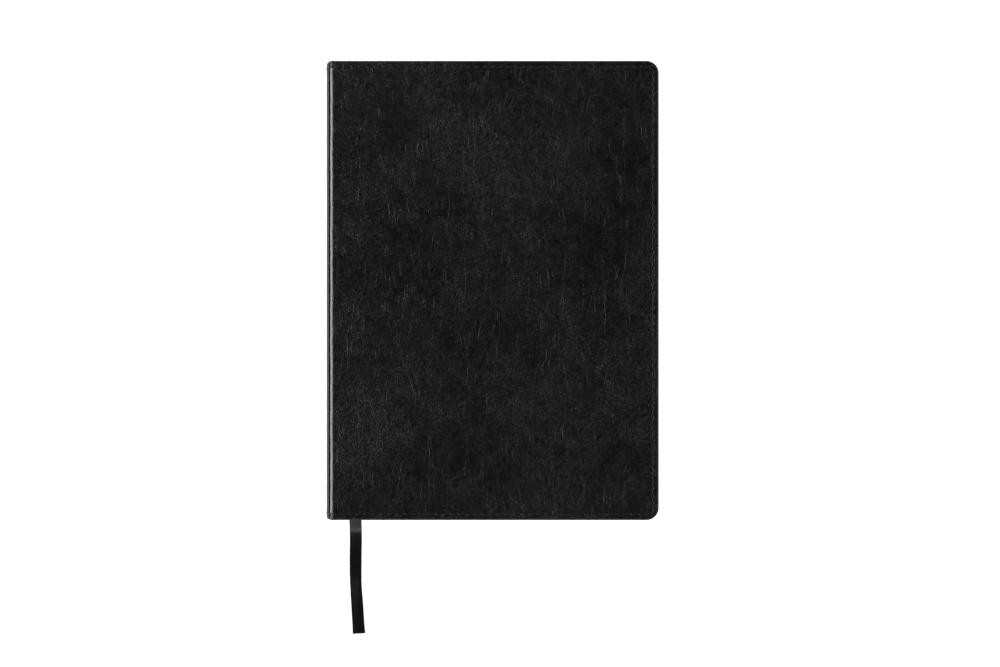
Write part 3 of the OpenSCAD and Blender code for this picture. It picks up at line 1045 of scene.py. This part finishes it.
def leather_material():
    c = colours()
    f = Finish("black grained leather", Specular_IOR_Level=0.5, Coat_Roughness=0.3)
    grain = f.use("pebbles", Size=1.3 * MM)
    crease = f.use("creases")
    broad = f.use("clouds", Size=48 * MM)
    small = f.use("clouds", Size=7 * MM)
    uneven = small * 0.4 + broad * 0.6
    fine = f.noise(f.place, 2400.0, 3.0, 0.7)
    mottle = f.fit(f.noise(f.place, 620.0, 2.0, 0.6), 0.32, 0.68)
    polish = f.value("polish")
    # Painted highlight on the tops of the grain, in part also rubbing
    base = f.mix(uneven * grain, c.leather, c.grain_rubbed_and_lit)
    base = f.mix(crease * 0.42, base, c.crease)
    # Painted warm sheen on the rolled edge
    base = f.mix(f.value("rim") * 0.8, base, c.rim)
    height = grain * (uneven * 0.6 + 0.52) + fine * 0.12 + crease * 0.52
    rough = uneven * 0.05 + 0.32 + mottle * 0.17 - polish * 0.1
    f.put(polish, f.shader["Coat Weight"])
    return f.paint(base, rough, height, 0.17 * MM)


def thread_material():
    c = colours()
    f = Finish("black waxed thread", Sheen_Weight=0.1, Sheen_Roughness=0.4)
    fibre = f.noise(f.place, 5200.0, 3.0, 0.7)
    base = f.mix(fibre * 0.6, c.thread, c.thread_light)
    return f.paint(base, fibre * 0.2 + 0.38, fibre, 0.05 * MM, 0.7)


def endpaper_material():
    c = colours()
    f = Finish("black endpaper")
    height, tone = f.use("fibres", Size=0.7 * MM)
    base = f.mix(tone * 0.6, c.endpaper, c.endpaper_light)
    return f.paint(base, tone * 0.15 + 0.62, height, 0.03 * MM, 0.6)


def paper_material(name, printed):
    c = colours()
    f = Finish(name)
    height, tone = f.use("fibres", Size=0.5 * MM)
    base = f.mix(tone * 0.35, c.paper, c.paper_shade)
    if printed:
        base = f.mix(f.use("print_lines", Line=3.4 * MM) * 0.85, base, c.ink)
    return f.paint(base, height * 0.1 + 0.6, height, 0.02 * MM, 0.5)


def gilt_material():
    c = colours()
    f = Finish("gilt leaf edges", Specular_IOR_Level=0.5)
    height, gap = f.use("leaf_edges", Leaf=0.16 * MM)
    cloud = f.use("clouds", Size=12 * MM)
    base = f.mix(gap * 0.6, c.gilt, c.gilt_gap)
    base = f.mix(cloud * 0.25, base, c.gilt_dull)
    f.put(f.fit(gap, 0.0, 1.0, 0.92, 0.55), f.shader["Metallic"])
    return f.paint(base, cloud * 0.12 + (gap * 0.2 + 0.3), height, 0.03 * MM, 0.7)


def satin_material(name, kept_place=True):
    c = colours()
    f = Finish(name, kept_place, Anisotropic=0.5, Specular_IOR_Level=0.55, Sheen_Weight=0.03)
    threads = f.noise(f.stretch(f.place, 1.0, 0.05, 0.3), 5200.0)
    picks = f.noise(f.stretch(f.place, 0.2, 1.0, 1.0), 3000.0)
    base = f.mix(f.fit(threads, 0.35, 0.65), c.ribbon, c.ribbon_light)
    if kept_place:
        base = f.mix(f.value("selvedge") * 0.6, base, c.selvedge)
    return f.paint(base, picks * 0.15 + 0.24, threads * 0.7 + picks * 0.3, 0.04 * MM, 0.7)


def band_material(name, tint):
    f = Finish(name, Sheen_Weight=0.25)
    fibre = f.noise(f.place, 6000.0, 3.0, 0.6)
    base = f.mix(fibre * 0.5, tint, [min(1.0, 1.9 * x + 0.01) for x in tint])
    return f.paint(base, fibre * 0.2 + 0.4, fibre, 0.03 * MM, 0.6)


def board_material(name, tint, size_mm):
    f = Finish(name, kept_place=False)
    height, tone = f.use("fibres", Size=size_mm * MM)
    base = f.mix(tone, tint, [0.7 * x for x in tint])
    return f.paint(base, height * 0.1 + 0.75, height, 0.08 * MM, 0.7)


def cloth_material(name, tint, thread_mm):
    f = Finish(name, kept_place=False, Sheen_Weight=0.2)
    weave = f.use("weave", Thread=thread_mm * MM)
    # Painted shade: the weave's low places, where threads pass under, are darker
    base = f.mix(weave * 0.6, [0.6 * x for x in tint], tint)
    return f.paint(base, weave * -0.1 + 0.85, weave, 0.1 * MM, 0.8)


def glue_material():
    c = colours()
    f = Finish("dried glue", kept_place=False)
    cloud = f.use("clouds", Size=6 * MM)
    base = f.mix(cloud, c.glue, [0.85 * x for x in c.glue])
    return f.paint(base, cloud * 0.2 + 0.3, cloud, 0.15 * MM, 0.6)


def floor_material():
    """The table shines a little, and more to the camera than on the book."""
    c = colours()
    f = Finish("pale table", kept_place=False, Roughness=0.9, Emission_Strength=1.0)
    base = f.mix(f.noise(f.place, 3.0) * 0.1, c.floor, [0.96 * x for x in c.floor])
    seen = Wire(f, f.add("ShaderNodeLightPath").outputs["Is Camera Ray"])
    f.put(f.mix(seen, c.glow_on_book, c.glow_seen), f.shader["Emission Color"])
    return f.paint(base)


def stand_for(piece, slot, *nodes):
    """Hides the CAD nodes that a piece replaces; the piece and its material's slot are not used."""
    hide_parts(*nodes)


def finish_node(node, material):
    """Gives a CAD node that stays its own material."""
    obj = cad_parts[node]
    obj.data.materials.clear()
    obj.data.materials.append(material)


# ---------- operators ----------


class BIBLE_OT_stage(bpy.types.Operator):
    """Sets the camera, the lights and the table"""

    bl_idname = "bible.stage"
    bl_label = "Stage"

    def execute(self, context):
        set_camera()
        set_lights()
        set_table()
        return {"FINISHED"}


LENS_MM, SENSOR_MM = 85, 36


def set_camera():
    s = sizes()
    data = bpy.data.cameras.new("camera")
    data.lens, data.sensor_width = LENS_MM, SENSOR_MM
    data.clip_start, data.clip_end = 0.01, 20
    camera = bpy.data.objects.new("camera", data)
    camera.location = (s.camera_x, s.camera_y, TOP + s.camera_height)
    bpy.context.scene.collection.objects.link(camera)
    bpy.context.scene.camera = camera


# Name, place, width and length in metres, power in watts and tint
LIGHTS = (
    ("left_strip", (-1.25, 0.1, 0.33), 1.8, 0.45, 24, (0.95, 0.955, 1)),
    ("right_strip", (1.4, 0.1, 0.5), 1.4, 0.3, 7, (1, 1, 1)),
    ("tail_soft", (-0.1, -1.4, 0.45), 1.2, 0.5, 3.4, (1, 1, 1)),
    ("head_soft", (0.1, 1.6, 0.9), 1.4, 0.4, 3, (1, 1, 1)),
)
WORLD_LIGHT = 0.03


def set_lights():
    for name, place, width, length, power, tint in LIGHTS:
        data = bpy.data.lights.new(name, "AREA")
        data.shape, data.size, data.size_y = "RECTANGLE", width, length
        data.energy, data.color = power, tint
        light = bpy.data.objects.new(name, data)
        light.location = place
        to_book = Vector(place) - Vector((0, 0, MID))
        light.rotation_euler = to_book.to_track_quat("Z", "Y").to_euler()
        bpy.context.scene.collection.objects.link(light)
    world = bpy.data.worlds.new("studio")
    world.use_nodes = True
    shade = world.node_tree.nodes["Background"]
    shade.inputs["Color"].default_value = (1, 1, 1, 1)
    shade.inputs["Strength"].default_value = WORLD_LIGHT
    bpy.context.scene.world = world
    bpy.context.scene.view_settings.view_transform = "Standard"


TABLE_HALF = 3.0
TABLE_DROP = 0.05 * MM  # below the book's lowest face


def set_table():
    line = np.linspace(-TABLE_HALF, TABLE_HALF, 13)
    x, y = np.meshgrid(line, line, indexing="ij")
    points = np.stack([x, y, np.full(x.shape, -TABLE_DROP)], axis=-1)
    table = make_mesh("table", points, grid_faces(*x.shape), [floor_material()])


class BIBLE_OT_ribbon(bpy.types.Operator):
    """Makes the ribbon marker"""

    bl_idname = "bible.ribbon"
    bl_label = "Ribbon"

    def execute(self, context):
        ribbon, line, long = ribbon_mesh(satin_material("black satin ribbon"))
        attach(ribbon, "text_block")
        stand_for(ribbon, "ribbon_satin", "ribbon_tail")
        finish_node("ribbon_inside", satin_material("black satin, hidden", False))
        return {"FINISHED"}


def cover_pieces(maker, label, material, slot, on_spine):
    """The front and the back piece of a kind; the front one goes on round the spine."""
    wrap = Wrap()
    for front, cover in ((True, "front_cover"), (False, "back_cover")):
        name = cover.replace("cover", label)
        piece = maker(name, wrap, -SEAM_S if front else SEAM_S, front, material)
        joint_bend(piece, front)
        kind = on_spine.replace("spine", "")
        stand_for(piece, slot, cover + kind, *([on_spine] if front else []))


class BIBLE_OT_leather(bpy.types.Operator):
    """Makes the leather of both covers and the spine"""

    bl_idname = "bible.leather"
    bl_label = "Leather"

    def execute(self, context):
        cover_pieces(leather_sheet, "leather", leather_material(), "leather", "spine_skin")
        return {"FINISHED"}


class BIBLE_OT_stitching(bpy.types.Operator):
    """Makes the stitches round the covers and across the spine"""

    bl_idname = "bible.stitching"
    bl_label = "Stitching"

    def execute(self, context):
        thread = thread_material()
        cover_pieces(stitch_mesh, "stitching", thread, "cover_thread", "spine_stitching")
        return {"FINISHED"}


class BIBLE_OT_endpapers(bpy.types.Operator):
    """Makes the linings and the flyleaves"""

    bl_idname = "bible.endpapers"
    bl_label = "Endpapers"

    def execute(self, context):
        wrap = Wrap()
        paper = endpaper_material()
        for side in ("front", "back"):
            lining = endpaper_hinge(f"{side}_endpaper", wrap, side == "front", paper)
            stand_for(lining, "endpaper", f"{side}_lining")
            low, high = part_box(f"{side}_flyleaf")
            leaf = page_slab(f"{side}_flyleaf_sheet", wrap, low.z, high.z, 1, [paper])
            gutter_bend(leaf, wrap)
            stand_for(leaf, "endpaper", f"{side}_flyleaf")
        return {"FINISHED"}


class BIBLE_OT_pages(bpy.types.Operator):
    """Makes the sewn sections and the leaves that turn"""

    bl_idname = "bible.pages"
    bl_label = "Pages"

    def execute(self, context):
        wrap = Wrap()
        paper = paper_material("printed page", True)
        gilt = gilt_material()
        for node in STILL:
            low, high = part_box(node)
            name = f"{node}_leaves"
            piece = page_slab(name, wrap, low.z, high.z, 10, [paper, gilt], 0.05 * MM)
            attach(piece, "text_block")
            stand_for(piece, "pages", node)
        title = paper_material("title page", False)
        looks = {node: (6, [paper, gilt], 0.04 * MM) for node in TURNING}
        looks["title_leaf"] = (1, [title], 0.0)
        for node, look in looks.items():
            low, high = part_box(node)
            piece = page_slab(f"{node}_leaves", wrap, low.z, high.z, *look)
            gutter_bend(piece, wrap)
            stand_for(piece, "pages", node)
        return {"FINISHED"}


class BIBLE_OT_bands(bpy.types.Operator):
    """Makes the head band and the tail band"""

    bl_idname = "bible.bands"
    bl_label = "Bands"

    def execute(self, context):
        wrap, c = Wrap(), colours()
        threads = [
            band_material("dark band thread", c.band_dark),
            band_material("gold band thread", c.band_gold),
        ]
        for side, label in ((1, "head_band"), (-1, "tail_band")):
            band = end_band(f"{label}_wound", wrap, side, threads)
            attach(band, "text_block")
            stand_for(band, "band_cloth", label)
        return {"FINISHED"}


class BIBLE_OT_inner(bpy.types.Operator):
    """Finishes the boards and what lies inside the spine"""

    bl_idname = "bible.inner"
    bl_label = "Inner pieces"

    def execute(self, context):
        c = colours()
        grey = board_material("grey board", c.board, 1.2)
        for node in ("front_board", "back_board", "spine_stiffener"):
            finish_node(node, grey)
        finish_node("spine_liner", board_material("kraft liner", c.kraft, 0.8))
        finish_node("mull", cloth_material("open mull", c.cloth, 0.6))
        linen = cloth_material("linen tape", c.cloth, 0.3)
        for node in ("sewing_tapes", "sewing_thread"):
            finish_node(node, linen)
        finish_node("spine_glue", glue_material())
        return {"FINISHED"}


class BIBLE_PT_panel(bpy.types.Panel):
    """Lists the Bible's pieces"""

    bl_idname = "BIBLE_PT_panel"
    bl_label = "Bible"
    bl_space_type = "VIEW_3D"
    bl_region_type = "UI"
    bl_category = "Bible"

    def draw(self, context):
        for step in STEPS:
            self.layout.operator(step.bl_idname)
        for settings in (context.scene.bible_sizes, context.scene.bible_colours):
            for name in settings.bl_rna.properties.keys():
                if name not in ("rna_type", "name"):
                    self.layout.prop(settings, name)


STEPS = (
    BIBLE_OT_stage,
    BIBLE_OT_ribbon,
    BIBLE_OT_leather,
    BIBLE_OT_stitching,
    BIBLE_OT_endpapers,
    BIBLE_OT_pages,
    BIBLE_OT_bands,
    BIBLE_OT_inner,
)
CLASSES = (BibleSizes, BibleColours, *STEPS, BIBLE_PT_panel)


def register():
    for cls in CLASSES:
        bpy.utils.register_class(cls)
    bpy.types.Scene.bible_sizes = PointerProperty(type=BibleSizes)
    bpy.types.Scene.bible_colours = PointerProperty(type=BibleColours)


def unregister():
    del bpy.types.Scene.bible_colours
    del bpy.types.Scene.bible_sizes
    for cls in reversed(CLASSES):
        bpy.utils.unregister_class(cls)


def main():
    register()
    make_groups()
    for step in STEPS:
        area, name = step.bl_idname.split(".")
        if getattr(getattr(bpy.ops, area), name)() != {"FINISHED"}:
            raise RuntimeError(f"{step.bl_label} did not finish")


if __name__ == "__main__":
    main()
